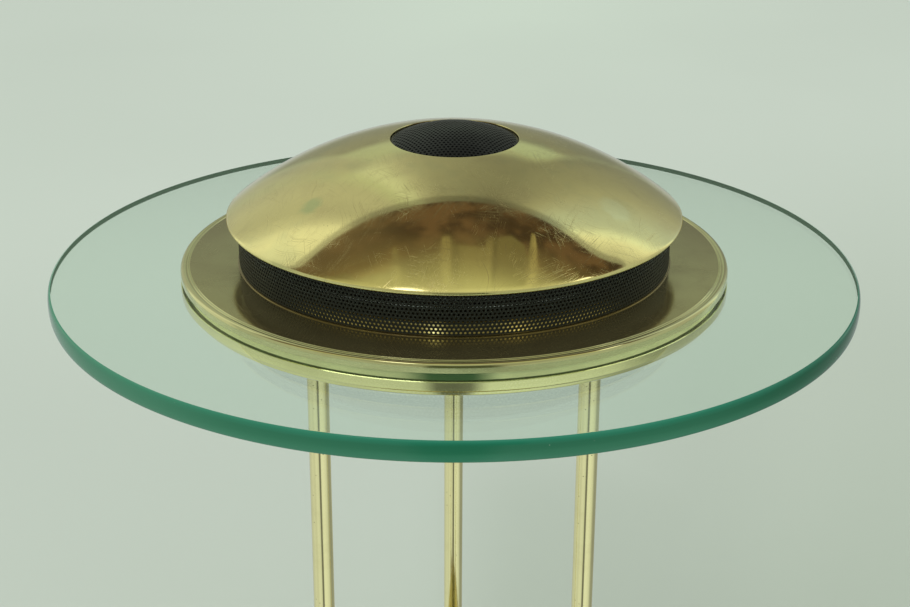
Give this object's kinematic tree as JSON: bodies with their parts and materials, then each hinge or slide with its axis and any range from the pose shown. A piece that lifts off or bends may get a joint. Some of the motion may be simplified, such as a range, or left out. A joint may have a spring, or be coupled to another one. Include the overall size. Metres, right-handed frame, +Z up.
{
  "type": "table lamp",
  "caption": "Table lamp: spun brass dome with a vent over a black perforated drum, on a clear round glass disc carried by brass tubes on a weighted round base.",
  "frame": {"origin": "centre of the underside of the felt pad, on the table top", "axes": "+Z up along the dome axis; -Y is the front, the side with the dimmer knob and the side the picture is taken from; +X is the viewer's right"},
  "size_m": [0.409, 0.409, 0.448],
  "materials": {
    "polished_brass": "polished and lacquered, lightly scratched",
    "black_mesh": "satin black perforated steel",
    "steel": "plain",
    "cast_iron": "as cast",
    "felt": "felt",
    "clear_glass": "clear plate glass, pencil-polished edge",
    "quartz": "clear quartz",
    "steatite": "unglazed ceramic",
    "bright_aluminium": "bright reflector",
    "rubber": "matt",
    "cord_jacket": "smooth jacket",
    "brown_plastic": "moulded",
    "black_plastic": "moulded",
    "lead_black": "sleeved",
    "lead_white": "sleeved",
    "nickel": "nickel plated"
  },
  "bodies": {
    "stand": {"band_ring": "polished_brass", "base_ballast": "cast_iron", "base_felt": "felt", "base_plate": "steel", "base_screw_1": "steel", "base_screw_2": "steel", "base_screw_3": "steel", "base_shell": "polished_brass", "bracket_nut": "steel", "bracket_screw": "steel", "contact_left": "nickel", "cord_grommet": "rubber", "dimmer_body": "black_plastic", "dimmer_bushing": "nickel", "dimmer_nut": "nickel", "foot_nut_back": "steel", "foot_nut_left": "steel", "foot_nut_right": "steel", "glass_disc": "clear_glass", "head_nut_back": "nickel", "head_nut_left": "nickel", "head_nut_right": "nickel", "holder_left": "steatite", "holder_right": "steatite", "lamp_bracket": "steel", "lead_left": "lead_black", "lead_right": "lead_white", "lower_flange": "polished_brass", "lower_gasket": "rubber", "plug_blade_left": "nickel", "plug_blade_right": "nickel", "plug_body": "brown_plastic", "power_cord": "cord_jacket", "reflector": "bright_aluminium", "reflector_stud": "steel", "ring_screw_1": "steel", "ring_screw_2": "steel", "ring_screw_3": "steel", "rod_back": "polished_brass", "rod_left": "polished_brass", "rod_right": "polished_brass", "screen_band": "black_mesh", "tie_back": "steel", "tie_left": "steel", "tie_right": "steel", "upper_flange": "polished_brass", "upper_gasket": "rubber"},
    "dimmer_control": {"dimmer_knob": "polished_brass", "dimmer_shaft": "nickel"},
    "dome": {"dome_shell": "polished_brass", "dome_seat_ring": "steel", "vent_screen": "black_mesh", "vent_ring": "steel"},
    "bulb": {"halogen_tube": "quartz"},
    "sprung_contact": {"contact_right": "nickel"}
  },
  "joints": [
    {"name": "dimmer_turn", "type": "hinge", "parent": "stand", "child": "dimmer_control", "pos_m": [0, -0.113, 0.0396], "axis": [0, 0, 1], "range_deg": [-280, 0]},
    {"name": "dome_lift", "type": "slide", "parent": "stand", "child": "dome", "axis": [0, 0, 1], "range_m": [0, 0.12]},
    {"name": "bulb_lift", "type": "slide", "parent": "stand", "child": "bulb", "axis": [0, 0, 1], "range_m": [0, 0.015]},
    {"name": "contact_press", "type": "slide", "parent": "stand", "child": "sprung_contact", "axis": [1, 0, 0], "range_m": [0, 0.004], "stiffness_N_per_m": 600}
  ]
}
